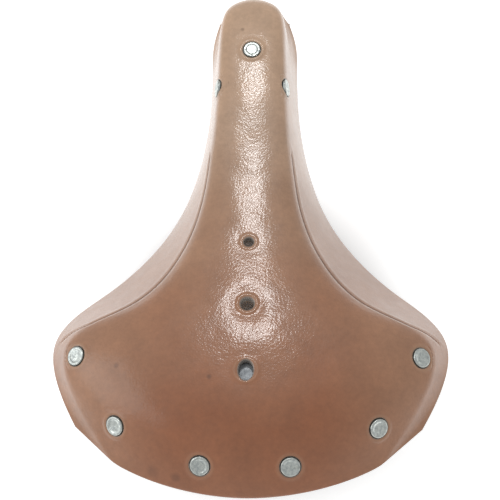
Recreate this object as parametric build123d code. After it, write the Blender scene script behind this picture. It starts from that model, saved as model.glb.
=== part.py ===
from build123d import *
import os
import numpy as np

# Leather tension saddle. Millimetres, +Z up, +Y towards the nose, X to the rider's right.
# The origin is midway between the two rails, at the middle of the stretch that a seat post clamps.

# ---- overall ----
SADDLE_LENGTH = 275.0       # nose tip to rear rim
ORIGIN_SHARE = 0.538        # share of the length from the nose tip back to the origin
WING_GUIDE = 102.0          # half width of the widest guide station; the hide reaches 3.5 less
NOSE_GUIDE = 26.0           # half width of the skirt guide along the nose
DECK_HEIGHT = 57.0          # rail axes up to the level that the guides are measured from

# ---- hide and plates ----
HIDE = 5.0                  # leather thickness
PLATE = 2.0                 # thickness of both steel plates under the hide
BEDDING = 0.05              # gap between curved pieces that bear on each other
NOSE_GAP = 0.3              # gap between the hide and the nose plate that slides under it

# ---- centreline holes: share of the length behind the nose tip, diameter, length along the saddle ----
HOLES = ((0.55, 4.7, 4.7), (0.67, 6.4, 6.4), (0.79, 6.8, 9.4))

# ---- rivets through the hide ----
HEAD_RADIUS = 4.5
HEAD_SINK = 1.2             # how deep the underside of a head is pressed into the hide
HEAD_PROUD = 0.4            # how far the rim of a head stands above the hide
SEAT_GAP = 0.35             # ring gap between a head and its seat
SHANK_RADIUS = 2.2
SHANK_GAP = 0.1             # radial gap around a shank
CLENCH_RADIUS = 3.3
CLENCH = 1.1                # thickness of the formed inner head
SPOTFACE = 0.3              # depth of the flat that the inner head bears on

# ---- rails ----
RAIL_RADIUS = 3.5
RAIL_SPACING = 44.0         # between the rail axes where they are clamped
RAIL_BEND = 15.0            # bend radius on the centreline
FRONT_RISE_RUN = 36.0       # run along Y of the rise to the yoke
REAR_RISE_RUN = 32.0        # run along Y of the rise to the sockets
RAIL_LEAD = 8.0             # straight lead of a rail before it enters the yoke
SOCKET_LEAD = 8.0           # the same before it enters a socket
MARK_DEPTH = 0.25           # grooves that mark the ends of the clamping stretch
MARK_WIDTH = 0.8

# ---- tension gear ----
BOLT_DROP = 23.0            # bolt axis below the deck level
BOLT_RADIUS = 4.0           # M8
BOLT_SLIP = 0.05            # radial running clearance in the yoke and the nut
COLLAR_RADIUS = 7.0
COLLAR = 3.0
BOLT_SEAT = 8.0             # depth of the socket in the anvil
BOLT_TAIL = 4.0             # how far the bolt stands out behind the yoke
THREAD_SHOWN = 12.4         # bare thread between nut and collar at rest
NUT_FLATS = 13.0
NUT = 6.5
NUT_SHAKE = 0.05            # gap between the nut and the yoke
YOKE = 12.0                 # length of the yoke along Y
YOKE_EYE = 8.0              # outer radius around the bolt
YOKE_LOBE = 6.0             # outer radius around a rail
YOKE_RAIL_X = 8.5           # rail axes in the yoke, from the middle
YOKE_RAIL_DROP = 9.0        # and below the bolt axis
RAIL_SHY = 0.5              # rail ends stop this short of the yoke's front face
ANVIL_HALF = 8.5
ANVIL_FOOT = 4.0            # thickness of the anvil's foot under the nose plate
ANVIL_LENGTH = 13.0

# ---- rail sockets under the cantle plate ----
SOCKET_WALL = 2.7
SOCKET_DEPTH = 13.0
SOCKET_FLOOR = 2.5
SOCKET_FOOT = 5.5
SOCKET_SINK = 4.8           # the boss stays this far under the plate at the rear corner of the foot
SOCKET_RIVET = 1.6          # shank radius
SOCKET_RIVET_HEAD = 2.9     # radius of the countersunk head
SOCKET_RIVET_SINK = 1.1     # height of its cone
SOCKET_RIVET_TAIL = 2.6     # radius of its formed tail
SOCKET_TAIL = 1.0

# ---- guide stations of the hide, nose to rear rim ----
# A half width of 1 is the nose guide and 2 is the wing guide. A place along the saddle is a share of
# the length behind the nose tip, and a drop is measured down from the deck level.
# middle: place, drop;  shoulder: half width, place, drop;  lower edge: half width, place, drop
STATIONS = (
    (0.00, 20, 0.60, 0.00, 21, 0.78, 0.02, 26),
    (0.00, 14, 0.40, 0.01, 14, 0.98, 0.05, 34),
    (0.00, 2, 0.60, 0.03, 3, 0.96, 0.09, 43),
    (0.08, -2, 0.68, 0.09, 0, 0.96, 0.15, 45),
    (0.22, 0, 0.68, 0.22, 2, 1.01, 0.25, 50),
    (0.36, 4, 0.74, 0.36, 6, 1.12, 0.39, 51),
    (0.50, 4, 0.90, 0.53, 7, 1.33, 0.50, 49),
    (0.64, 0, 1.29, 0.68, 5, 1.65, 0.60, 43),
    (0.80, -6, 1.83, 0.70, 9, 1.96, 0.67, 33),
    (0.94, -5, 1.88, 0.79, 13, 2.00, 0.76, 24),
    (1.00, 13, 1.45, 0.94, 18, 1.75, 0.87, 23),
)
CROWN_SHARE = 0.62          # guide between the middle and the shoulder
CROWN_DROP = 0.15
LOW_SHARE = 0.15            # guides between the shoulder and the lower edge
SKIRT_SHARE = 0.55
DEGREE = 3

# ---- places on the hide: along it (0 nose edge to 1 rear rim), across it (0 left edge to 1 right) ----
NOSE_PLATE_PATCH = (0.04, 0.42, 0.13)
CANTLE_PATCH = (0.835, 0.986, 0.19)
ANVIL_PATCH = (0.17, 0.262, 0.37)
NOSE_TOP_RIVET = (0.31, 0.5)
NOSE_SIDE_RIVET = (0.37, 0.18)
REAR_RIVETS = ((0.908, 0.25), (0.965, 0.325), (0.975, 0.445))
SOCKET_PATCH = (0.935, 0.966, 0.353, 0.429)
SOCKET_RIVETS = ((0.950, 0.364), (0.950, 0.418))


def half_width(share):
    """Half width at a guide share: up to 1 along the nose, from 1 to 2 out to the wings."""
    return NOSE_GUIDE * min(share, 1) + (WING_GUIDE - NOSE_GUIDE) * max(share - 1, 0)


def guide_point(half, place, drop):
    return np.array([half_width(half), (ORIGIN_SHARE - place) * SADDLE_LENGTH, DECK_HEIGHT - drop])


def guide_net():
    """Control points of the hide's outer face: one row per station, left edge to right edge."""
    rows = []
    for mid_place, mid_drop, *rest in STATIONS:
        middle = guide_point(0, mid_place, mid_drop)
        shoulder, edge = guide_point(*rest[:3]), guide_point(*rest[3:])
        crown = middle + (shoulder - middle) * (CROWN_SHARE, CROWN_SHARE ** 2, CROWN_DROP)
        low = shoulder + (edge - shoulder) * LOW_SHARE
        skirt = shoulder + (edge - shoulder) * SKIRT_SHARE
        right = [crown, shoulder, low, skirt, edge]
        left = [point * (-1, 1, 1) for point in right]
        rows.append(left[::-1] + [middle] + right)
    return np.array(rows)


def inset_net(net, depth):
    """The net moved inwards, each point mitred between the facets of the net that meet there."""
    facets = np.cross(net[1:, 1:] - net[:-1, :-1], net[:-1, 1:] - net[1:, :-1])
    facets /= np.linalg.norm(facets, axis=2, keepdims=True)
    moved = net.copy()
    for row, column in np.ndindex(net.shape[:2]):
        around = facets[max(row - 1, 0):row + 1, max(column - 1, 0):column + 1].reshape(-1, 3)
        mitre = np.linalg.pinv(around, rcond=0.15) @ np.ones(len(around))
        moved[row, column] -= depth * mitre
    return moved


def spline_weights(count, places):
    """Weights of a clamped uniform B-spline's control points at places from 0 to 1."""
    places = np.clip(np.asarray(places, float), 0, 1 - 1e-9)
    knots = np.concatenate([np.zeros(DEGREE), np.linspace(0, 1, count - DEGREE + 1), np.ones(DEGREE)])
    weights = [((places >= a) & (places < b)).astype(float) for a, b in zip(knots[:-1], knots[1:])]
    for degree in range(1, DEGREE + 1):
        for i in range(len(weights) - 1):
            rise, fall = knots[i + degree] - knots[i], knots[i + degree + 1] - knots[i + 1]
            left = (places - knots[i]) / rise * weights[i] if rise > 0 else 0
            right = (knots[i + degree + 1] - places) / fall * weights[i + 1] if fall > 0 else 0
            weights[i] = left + right
        weights.pop()
    return np.array(weights)


NET = guide_net()
HIDE_PATCH = (0.0, 1.0, 0.0, 1.0)


def hide_grid(along, across, depth=0.0):
    """Points at a depth under the outer face, one row per place along the hide."""
    net = inset_net(NET, depth) if depth else NET
    by_row = spline_weights(len(net), along)
    by_column = spline_weights(net.shape[1], across)
    return np.einsum("it,ju,ijk->tuk", by_row, by_column, net)


def hide_point(along, across, depth=0.0):
    return Vector(*hide_grid([along], [across], depth)[0, 0])


def hide_plane(along, across):
    """Plane that touches the outer face there, its normal outwards."""
    step = 1e-3
    here = hide_point(along, across)
    ahead = hide_point(along - step, across) - hide_point(along + step, across)
    right = hide_point(along, across + step) - hide_point(along, across - step)
    return Plane(origin=here, x_dir=right, z_dir=right.cross(ahead))


def hide_slab(patch, outer, inner):
    """Closed solid between two depths, over the patch (start, end, left, right)."""
    start, end, left, right = patch
    along = np.linspace(start, end, max(8, round((end - start) * 60)))
    across = np.linspace(left, right, max(8, round((right - left) * 48)))
    grids = [hide_grid(along, across, depth) for depth in (outer, inner)]
    skins = [Face.make_surface_from_array_of_points([[tuple(p) for p in row] for row in grid], tol=0.004)
             for grid in grids]
    middle = (len(along) // 2, len(across) // 2)
    sides = []
    for spot in ((0, middle[1]), (-1, middle[1]), (middle[0], 0), (middle[0], -1)):
        rims = [skin.edges().sort_by_distance(Vector(*grid[spot]))[0] for skin, grid in zip(skins, grids)]
        sides.append(Face.make_surface_from_curves(rims[0], rims[1]))
    return Solid(Shell(skins + sides))


def mirrored(solid):
    return solid.mirror(Plane.YZ)


def both_sides(places):
    """The places as they are and their mirror places on the right."""
    return list(places) + [(along, 1 - across) for along, across in reversed(places)]


def cylinder_y(radius, start, end, x=0.0, z=0.0):
    """Round bar along Y."""
    plane = Plane(origin=(x, start, z), z_dir=(0, 1, 0))
    return extrude(plane * Circle(radius), end - start)


def turned(profile, plane):
    """Solid turned about the plane's normal from a closed outline of radius and height."""
    outline = Plane.XZ * make_face(Polyline(*profile, close=True))
    return plane.location * revolve(outline, Axis.Z)


# ---- places that follow from the sizes above ----
PLATE_OUTER = HIDE + BEDDING
CANTLE_INNER = PLATE_OUTER + PLATE
NOSE_OUTER = HIDE + NOSE_GAP
NOSE_INNER = NOSE_OUTER + PLATE
BOLT_Z = DECK_HEIGHT - BOLT_DROP
ANVIL_BACK = hide_point(ANVIL_PATCH[1], 0.5).Y
YOKE_FRONT = ANVIL_BACK - COLLAR - THREAD_SHOWN - NUT - NUT_SHAKE
YOKE_BACK = YOKE_FRONT - YOKE
YOKE_RAIL_Z = BOLT_Z - YOKE_RAIL_DROP
SOCKET_RADIUS = RAIL_RADIUS + SOCKET_WALL
SOCKET_FACE = hide_point(SOCKET_PATCH[0], SOCKET_PATCH[3], CANTLE_INNER).Y
SOCKET_BACK = SOCKET_FACE - SOCKET_DEPTH - SOCKET_FLOOR
SOCKET_X = abs(hide_point(SOCKET_PATCH[1], (SOCKET_PATCH[2] + SOCKET_PATCH[3]) / 2).X)
SOCKET_Z = hide_point(SOCKET_PATCH[1], SOCKET_PATCH[2], CANTLE_INNER + SOCKET_SINK).Z - SOCKET_RADIUS


def rivet_outline(clench_at):
    """Radius and height of a tubular rivet: rimmed and dished head, shank, formed inner head."""
    return ((0, HEAD_PROUD - 0.3), (HEAD_RADIUS - 1.3, HEAD_PROUD - 0.25), (HEAD_RADIUS - 0.9, HEAD_PROUD),
            (HEAD_RADIUS - 0.3, HEAD_PROUD), (HEAD_RADIUS, HEAD_PROUD - 0.3), (HEAD_RADIUS, -HEAD_SINK),
            (SHANK_RADIUS, -HEAD_SINK), (SHANK_RADIUS, -clench_at), (CLENCH_RADIUS, -clench_at),
            (CLENCH_RADIUS - 0.4, -clench_at - CLENCH), (0, -clench_at - CLENCH))


def hide_rivet(place, clench_at):
    return turned(rivet_outline(clench_at), hide_plane(*place))


def rivet_seat(place, clench_at):
    """What a rivet takes out of the hide: its seat, the bore for its shank and room for its inner head."""
    seat, bore, room = HEAD_RADIUS + SEAT_GAP, SHANK_RADIUS + SHANK_GAP, CLENCH_RADIUS + SEAT_GAP
    outline = ((0, HIDE), (seat, HIDE), (seat, -HEAD_SINK), (bore, -HEAD_SINK), (bore, -clench_at),
               (room, -clench_at), (room, -clench_at - HIDE), (0, -clench_at - HIDE))
    return turned(outline, hide_plane(*place))


def rivet_spotface(place, clench_at):
    """What a rivet takes out of a plate: its bore and the flat for its inner head."""
    bore, flat = SHANK_RADIUS + SHANK_GAP, CLENCH_RADIUS + SEAT_GAP
    outline = ((0, 0), (bore, 0), (bore, -clench_at), (flat, -clench_at), (flat, -clench_at - HIDE),
               (0, -clench_at - HIDE))
    return turned(outline, hide_plane(*place))


NOSE_CLENCH = NOSE_INNER - SPOTFACE
CANTLE_CLENCH = CANTLE_INNER - SPOTFACE
NOSE_RIVETS = [NOSE_TOP_RIVET] + both_sides([NOSE_SIDE_RIVET])
CANTLE_RIVETS = both_sides(REAR_RIVETS)


def leather_top():
    hide = hide_slab(HIDE_PATCH, 0, HIDE)
    for place in NOSE_RIVETS:
        hide -= rivet_seat(place, NOSE_CLENCH)
    for place in CANTLE_RIVETS:
        hide -= rivet_seat(place, CANTLE_CLENCH)
    for share, width, length in HOLES:
        centre = Location((0, (ORIGIN_SHARE - share) * SADDLE_LENGTH, 0))
        outline = Circle(width / 2) if length == width else Rot(0, 0, 90) * SlotOverall(length, width)
        hide -= centre * extrude(outline, 2 * DECK_HEIGHT)
    return hide


def nose_plate():
    start, end, left = NOSE_PLATE_PATCH
    plate = hide_slab((start, end, left, 1 - left), NOSE_OUTER, NOSE_INNER)
    for place in NOSE_RIVETS:
        plate -= rivet_spotface(place, NOSE_CLENCH)
    return plate


def nose_anvil():
    """Foot that fits under the nose plate, and a block with the bolt's socket."""
    start, end, left = ANVIL_PATCH
    foot = hide_slab((start, end, left, 1 - left), NOSE_INNER + BEDDING, NOSE_INNER + ANVIL_FOOT)
    top = hide_point(start, 0.5, NOSE_INNER + ANVIL_FOOT).Z
    low = BOLT_Z - COLLAR_RADIUS
    block = Pos(0, ANVIL_BACK, low) * Box(2 * ANVIL_HALF, ANVIL_LENGTH, top - low + 1,
                                          align=(Align.CENTER, Align.MIN, Align.MIN))
    anvil = block.fuse(foot)
    return anvil - cylinder_y(BOLT_RADIUS, ANVIL_BACK - 1, ANVIL_BACK + BOLT_SEAT, z=BOLT_Z)


def tension_bolt():
    shank = cylinder_y(BOLT_RADIUS, YOKE_BACK - BOLT_TAIL, ANVIL_BACK + BOLT_SEAT, z=BOLT_Z)
    shank = chamfer(shank.edges().group_by(Axis.Y)[0], 0.8)
    return shank + cylinder_y(COLLAR_RADIUS, ANVIL_BACK - COLLAR, ANVIL_BACK, z=BOLT_Z)


def tension_nut():
    plane = Plane(origin=(0, YOKE_FRONT + NUT_SHAKE, BOLT_Z), z_dir=(0, 1, 0))
    blank = extrude(plane * RegularPolygon(NUT_FLATS / 2, 6, major_radius=False), NUT)
    corner = NUT_FLATS / 3 ** 0.5
    cone = turned(((0, 0), (corner - 0.5, 0), (corner, 0.5), (corner, NUT - 0.5), (corner - 0.5, NUT), (0, NUT)),
                  plane)
    return (blank & cone) - cylinder_y(BOLT_RADIUS + BOLT_SLIP, YOKE_FRONT, YOKE_FRONT + 2 * NUT, z=BOLT_Z)


def front_yoke():
    face = Plane(origin=(0, YOKE_BACK, BOLT_Z), x_dir=(-1, 0, 0), z_dir=(0, 1, 0))
    lobes = Circle(YOKE_EYE)
    for side in (-1, 1):
        lobes += Pos(side * YOKE_RAIL_X, -YOKE_RAIL_DROP) * Circle(YOKE_LOBE)
    yoke = extrude(face * make_hull(lobes.edges()), YOKE)
    yoke = chamfer(yoke.faces().sort_by(Axis.Y)[0].edges() + yoke.faces().sort_by(Axis.Y)[-1].edges(), 0.6)
    yoke -= cylinder_y(BOLT_RADIUS + BOLT_SLIP, YOKE_BACK - 1, YOKE_FRONT + 1, z=BOLT_Z)
    for side in (-1, 1):
        yoke -= cylinder_y(RAIL_RADIUS, YOKE_BACK - 1, YOKE_FRONT + 1, side * YOKE_RAIL_X, YOKE_RAIL_Z)
    return yoke


def rail_points():
    """Corners of the right rail's centreline, from its rear end in the socket to the yoke."""
    side = RAIL_SPACING / 2
    into_socket = SOCKET_FACE + SOCKET_LEAD
    into_yoke = YOKE_BACK - RAIL_LEAD
    return ((SOCKET_X, SOCKET_FACE - SOCKET_DEPTH, SOCKET_Z), (SOCKET_X, into_socket, SOCKET_Z),
            (side, into_socket + REAR_RISE_RUN, 0), (side, YOKE_BACK - FRONT_RISE_RUN, 0),
            (YOKE_RAIL_X, into_yoke, YOKE_RAIL_Z), (YOKE_RAIL_X, YOKE_FRONT - RAIL_SHY, YOKE_RAIL_Z))


def clamp_half():
    """Half the stretch between the marks: half of the straight run ahead of the origin."""
    corner, ahead = Vector(*rail_points()[3]), Vector(*rail_points()[4])
    turn = np.radians(Vector(0, 1, 0).get_angle(ahead - corner))
    return (corner.Y - RAIL_BEND * np.tan(turn / 2)) / 2


def rail_right():
    path = FilletPolyline(*rail_points(), radius=RAIL_BEND)
    rail = sweep(Plane(origin=path @ 0, z_dir=path % 0) * Circle(RAIL_RADIUS), path=path)
    for start in (clamp_half(), -clamp_half() - MARK_WIDTH):
        x = RAIL_SPACING / 2
        ring = cylinder_y(2 * RAIL_RADIUS, start, start + MARK_WIDTH, x)
        rail -= ring - cylinder_y(RAIL_RADIUS - MARK_DEPTH, start, start + MARK_WIDTH, x)
    return rail


def socket_rivet(place):
    """Countersunk rivet, flush with the top of the cantle plate."""
    top, tail = PLATE_OUTER, CANTLE_INNER + SOCKET_FOOT - SPOTFACE
    outline = ((0, -top), (SOCKET_RIVET_HEAD, -top), (SOCKET_RIVET, -top - SOCKET_RIVET_SINK),
               (SOCKET_RIVET, -tail), (SOCKET_RIVET_TAIL, -tail), (SOCKET_RIVET_TAIL - 0.4, -tail - SOCKET_TAIL),
               (0, -tail - SOCKET_TAIL))
    return turned(outline, hide_plane(*place))


def socket_rivet_bore(place):
    """What a socket rivet takes out of the plate and the socket's foot."""
    top, tail = PLATE_OUTER, CANTLE_INNER + SOCKET_FOOT - SPOTFACE
    flat = SOCKET_RIVET_TAIL + 0.2
    outline = ((0, 0), (SOCKET_RIVET_HEAD + top, 0), (SOCKET_RIVET_HEAD, -top),
               (SOCKET_RIVET, -top - SOCKET_RIVET_SINK), (SOCKET_RIVET, -tail), (flat, -tail),
               (flat, -tail - HIDE), (0, -tail - HIDE))
    return turned(outline, hide_plane(*place))


def rail_socket_left():
    foot = hide_slab(SOCKET_PATCH, CANTLE_INNER + BEDDING, CANTLE_INNER + SOCKET_FOOT)
    boss = cylinder_y(SOCKET_RADIUS, SOCKET_BACK, SOCKET_FACE, -SOCKET_X, SOCKET_Z)
    socket = boss.fuse(foot)
    socket -= cylinder_y(RAIL_RADIUS, SOCKET_FACE - SOCKET_DEPTH, SOCKET_FACE + 1, -SOCKET_X, SOCKET_Z)
    for place in SOCKET_RIVETS:
        socket -= socket_rivet_bore(place)
    return socket


def cantle_plate():
    start, end, left = CANTLE_PATCH
    plate = hide_slab((start, end, left, 1 - left), PLATE_OUTER, CANTLE_INNER)
    for place in CANTLE_RIVETS:
        plate -= rivet_spotface(place, CANTLE_CLENCH)
    for place in both_sides(SOCKET_RIVETS):
        plate -= socket_rivet_bore(place)
    return plate


def saddle():
    """Every piece by name."""
    pieces = {
        "leather_top": leather_top(),
        "cantle_plate": cantle_plate(),
        "nose_plate": nose_plate(),
        "nose_anvil": nose_anvil(),
        "tension_bolt": tension_bolt(),
        "tension_nut": tension_nut(),
        "front_yoke": front_yoke(),
        "rail_right": rail_right(),
        "rail_socket_left": rail_socket_left(),
    }
    pieces["rail_left"] = mirrored(pieces["rail_right"])
    pieces["rail_socket_right"] = mirrored(pieces["rail_socket_left"])
    for number, place in enumerate(CANTLE_RIVETS, start=1):
        pieces[f"rear_rivet_{number}"] = hide_rivet(place, CANTLE_CLENCH)
    for name, place in zip(("top", "left", "right"), NOSE_RIVETS):
        pieces[f"nose_rivet_{name}"] = hide_rivet(place, NOSE_CLENCH)
    for number, place in enumerate(both_sides(SOCKET_RIVETS), start=1):
        pieces[f"socket_rivet_{number}"] = socket_rivet(place)
    return pieces


os.makedirs("parts", exist_ok=True)
for name, solid in saddle().items():
    export_step(solid, f"parts/{name}.step")
print("clamping stretch", round(2 * clamp_half(), 2), "at x", RAIL_SPACING / 2)
print("bolt axis z", BOLT_Z, "yoke y", round(YOKE_BACK, 2), round(YOKE_FRONT, 2), "anvil y", round(ANVIL_BACK, 2))
print("socket x y z", round(SOCKET_X, 2), round(SOCKET_FACE, 2), round(SOCKET_Z, 2))
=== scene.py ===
"""A leather tension saddle: moulded hide, domed rivets, cantle and nose plates, twin rails and a tension bolt."""
import logging
import math
from dataclasses import dataclass, field
from enum import Enum

import bmesh
import bpy
import numpy as np
from mathutils import Matrix, Vector


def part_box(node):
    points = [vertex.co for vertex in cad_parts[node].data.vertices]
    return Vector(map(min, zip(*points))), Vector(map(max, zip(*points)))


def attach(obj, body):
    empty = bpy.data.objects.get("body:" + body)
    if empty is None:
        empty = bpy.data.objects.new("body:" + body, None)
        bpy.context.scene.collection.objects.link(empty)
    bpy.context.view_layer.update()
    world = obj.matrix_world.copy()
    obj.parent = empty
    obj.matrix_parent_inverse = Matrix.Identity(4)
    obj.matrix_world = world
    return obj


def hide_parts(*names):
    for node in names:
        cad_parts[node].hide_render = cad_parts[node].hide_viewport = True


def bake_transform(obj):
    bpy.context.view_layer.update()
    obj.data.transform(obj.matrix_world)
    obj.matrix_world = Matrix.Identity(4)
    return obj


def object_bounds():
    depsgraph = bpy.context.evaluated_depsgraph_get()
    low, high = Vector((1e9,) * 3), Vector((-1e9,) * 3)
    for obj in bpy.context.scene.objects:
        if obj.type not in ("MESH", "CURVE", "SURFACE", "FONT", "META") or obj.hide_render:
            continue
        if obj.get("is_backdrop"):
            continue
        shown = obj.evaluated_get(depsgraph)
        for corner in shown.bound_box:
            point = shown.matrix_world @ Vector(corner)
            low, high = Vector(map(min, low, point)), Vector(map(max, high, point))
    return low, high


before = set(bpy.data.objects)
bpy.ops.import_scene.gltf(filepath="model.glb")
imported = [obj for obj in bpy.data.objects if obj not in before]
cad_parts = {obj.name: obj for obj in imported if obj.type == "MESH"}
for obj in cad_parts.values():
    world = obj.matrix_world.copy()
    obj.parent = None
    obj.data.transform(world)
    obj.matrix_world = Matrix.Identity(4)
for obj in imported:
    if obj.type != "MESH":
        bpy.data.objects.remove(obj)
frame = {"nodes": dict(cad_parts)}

log = logging.getLogger("saddle")
MM = 0.001


# ---------------------------------------------------------------------------------------------- helpers


def srgb(code: str, alpha: float = 1.0) -> tuple[float, float, float, float]:
    """Turns an sRGB hex colour into Blender's linear colour.

    Args:
        code: the colour as "#RRGGBB".
        alpha: the fourth value.
    Returns:
        Linear red, green, blue and alpha.
    """
    parts = [int(code[i:i + 2], 16) / 255 for i in (1, 3, 5)]
    linear = [c / 12.92 if c <= 0.04045 else ((c + 0.055) / 1.055) ** 2.4 for c in parts]
    return (*linear, alpha)


def add_node(tree: bpy.types.NodeTree, kind: str, settings: dict | None = None,
             inputs: dict | None = None) -> bpy.types.Node:
    """Adds one node with its settings, values and links.

    Args:
        tree: the node tree it goes in.
        kind: the node's bl_idname.
        settings: properties to set first, since they decide which sockets show.
        inputs: socket index or name, to a value or to the output socket that feeds it.
    Returns:
        The new node.
    """
    node = tree.nodes.new(kind)
    for name, value in (settings or {}).items():
        setattr(node, name, value)
    for key, value in (inputs or {}).items():
        socket = node.inputs[key]
        if isinstance(value, bpy.types.NodeSocket):
            tree.links.new(value, socket)
        else:
            socket.default_value = value
    return node


def smooth(edge_a: float, edge_b: float, value: np.ndarray) -> np.ndarray:
    """Eased step from 0 at edge_a to 1 at edge_b."""
    t = np.clip((value - edge_a) / (edge_b - edge_a), 0, 1)
    return t * t * (3 - 2 * t)


def link_mesh(name: str, mesh: bpy.types.Mesh) -> bpy.types.Object:
    """Puts a mesh in the scene as an object at the origin."""
    piece = bpy.data.objects.new(name, mesh)
    bpy.context.scene.collection.objects.link(piece)
    return piece


# ---------------------------------------------------------------------------------------------- finishes


class Zone(str, Enum):
    """Names of the attributes that tell a finish where it is on the hide."""

    CUT_EDGE = "cut_edge"      # 1 on the cut edge, the walls of the holes and the rivet seats
    FLESH = "flesh_side"       # 1 on the inner side
    CREASE = "crease_gap"      # distance from the pressed crease line, in mm
    # the lip zone is also where the painted highlight of the raised lips goes
    LIP = "lip"                # 1 on the raised leather round a rivet or a hole
    # the skirt zone is also where the painted reflection of the skirts goes
    SKIRT = "skirt"            # 1 on the side flaps below the shoulder


@dataclass(frozen=True)
class Tint:
    """A colour that an area of the hide has, as a share of the way from the rear (0) to the nose (1)."""

    place: float
    colour: str


@dataclass(frozen=True)
class WaxedLeather:
    """Vegetable-tanned cowhide, wet-moulded, waxed and worn.

    The grain side shows fine pores and blotchy tan from years of use, and the wax gives a soft shine that breaks up
    on the pores. The cut edge is a mottled grey, and the flesh side is dull and fibrous.
    """

    name: str = "waxed_vegetable_tanned_cowhide"
    tints: tuple[Tint, ...] = (
        Tint(0.00, "#966040"), Tint(0.12, "#905633"), Tint(0.33, "#9D6D4E"), Tint(0.53, "#A68064"),
        Tint(0.70, "#B49379"), Tint(0.88, "#BE9C7F"), Tint(1.00, "#C4A285"))
    wing: str = "#A37759"
    # skirt: a paler pinkish grey for the steep skirts, a painted reflection of the bright surroundings seen at a
    # grazing angle
    skirt: str = "#9C7A66"
    # dark: the colour of the painted shade in the crease groove and of the small stains
    dark: str = "#4A2E20"
    edge: str = "#9B948C"
    flesh: str = "#8B6E52"
    pore_mm: float = 1.1         # real pores are about 0.3 mm, drawn coarser so that they show
    wrinkle_mm: float = 5.0
    blotch_mm: float = 17.0
    roughness: float = 0.50
    coat: float = 0.8
    coat_roughness: float = 0.17

    def build(self, along: tuple[float, float]) -> bpy.types.Material:
        """Makes the material.

        Args:
            along: the hide's rear and nose places on the long axis, in metres.
        Returns:
            The finished material.
        """
        material = bpy.data.materials.new(self.name)
        material.use_nodes = True
        tree = material.node_tree
        tree.nodes.clear()
        where = add_node(tree, "ShaderNodeTexCoord").outputs["Object"]
        axes = add_node(tree, "ShaderNodeSeparateXYZ", inputs={0: where}).outputs
        colour = self._body_colour(tree, where, axes, along)
        zone = {z: add_node(tree, "ShaderNodeAttribute", {"attribute_name": z.value}).outputs["Fac"] for z in Zone}
        colour, line = self._painted_sheen_and_shade(tree, colour, zone)
        colour = self._marks(tree, where, colour)
        edge_grey = self._mottle(tree, where, 2.2, srgb(self.edge), srgb("#7E776F"))
        colour = mix_colour(tree, zone[Zone.CUT_EDGE], colour, edge_grey)
        flesh = self._mottle(tree, where, 3.0, srgb(self.flesh), srgb("#6F553F"))
        colour = mix_colour(tree, zone[Zone.FLESH], colour, flesh)
        rough = self._roughness(tree, where, zone)
        normal = self._relief(tree, where, zone, line)
        shader = add_node(tree, "ShaderNodeBsdfPrincipled", inputs={
            "Base Color": colour, "Roughness": rough, "Normal": normal, "IOR": 1.5, "Coat Weight": self.coat,
            "Coat Roughness": self.coat_roughness, "Coat IOR": 1.45, "Specular IOR Level": 0.5})
        tree.links.new(normal, shader.inputs["Coat Normal"])
        add_node(tree, "ShaderNodeOutputMaterial", inputs={"Surface": shader.outputs[0]})
        return material

    def _body_colour(self, tree: bpy.types.NodeTree, where: bpy.types.NodeSocket, axes: bpy.types.bpy_prop_collection,
                     along: tuple[float, float]) -> bpy.types.NodeSocket:
        """Tan from nose to rear, lighter wings, and blotches of two sizes."""
        share = add_node(tree, "ShaderNodeMapRange", inputs={0: axes["Y"], 1: along[0], 2: along[1]})
        drift = add_node(tree, "ShaderNodeTexNoise", inputs={"Vector": where, "Scale": 1 / (38 * MM), "Detail": 3.0})
        wander = add_node(tree, "ShaderNodeMath", {"operation": "MULTIPLY_ADD"},
                          {0: drift.outputs["Fac"], 1: 0.20, 2: -0.10})
        place = add_node(tree, "ShaderNodeMath", {"operation": "ADD"}, {0: share.outputs[0], 1: wander.outputs[0]})
        ramp = add_node(tree, "ShaderNodeValToRGB", inputs={0: place.outputs[0]})
        stops = ramp.color_ramp.elements
        while len(stops) < len(self.tints):
            stops.new(0.5)
        for stop, tint in zip(stops, self.tints):
            stop.position, stop.color = tint.place, srgb(tint.colour)
        side = add_node(tree, "ShaderNodeMath", {"operation": "ABSOLUTE"}, {0: axes["X"]})
        wing = add_node(tree, "ShaderNodeMapRange", {"interpolation_type": "SMOOTHSTEP"},
                        {0: side.outputs[0], 1: 28 * MM, 2: 84 * MM})
        blotch = add_node(tree, "ShaderNodeTexNoise",
                          inputs={"Vector": where, "Scale": 1 / (self.blotch_mm * MM), "Detail": 5.0,
                                  "Roughness": 0.62})
        wing_share = add_node(tree, "ShaderNodeMath", {"operation": "MULTIPLY"}, {0: wing.outputs[0], 1: 0.85})
        colour = mix_colour(tree, wing_share.outputs[0], ramp.outputs[0], srgb(self.wing))
        speck = add_node(tree, "ShaderNodeTexNoise",
                         inputs={"Vector": where, "Scale": 1 / (2.6 * MM), "Detail": 4.0, "Roughness": 0.7})
        for noise, swing in ((blotch, 0.09), (speck, 0.08)):
            tone = add_node(tree, "ShaderNodeMapRange",
                            inputs={0: noise.outputs["Fac"], 1: 0.32, 2: 0.68, 3: 1 - swing, 4: 1 + swing})
            colour = add_node(tree, "ShaderNodeVectorMath", {"operation": "SCALE"},
                              {0: colour, "Scale": tone.outputs[0]}).outputs[0]
        return colour

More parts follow.
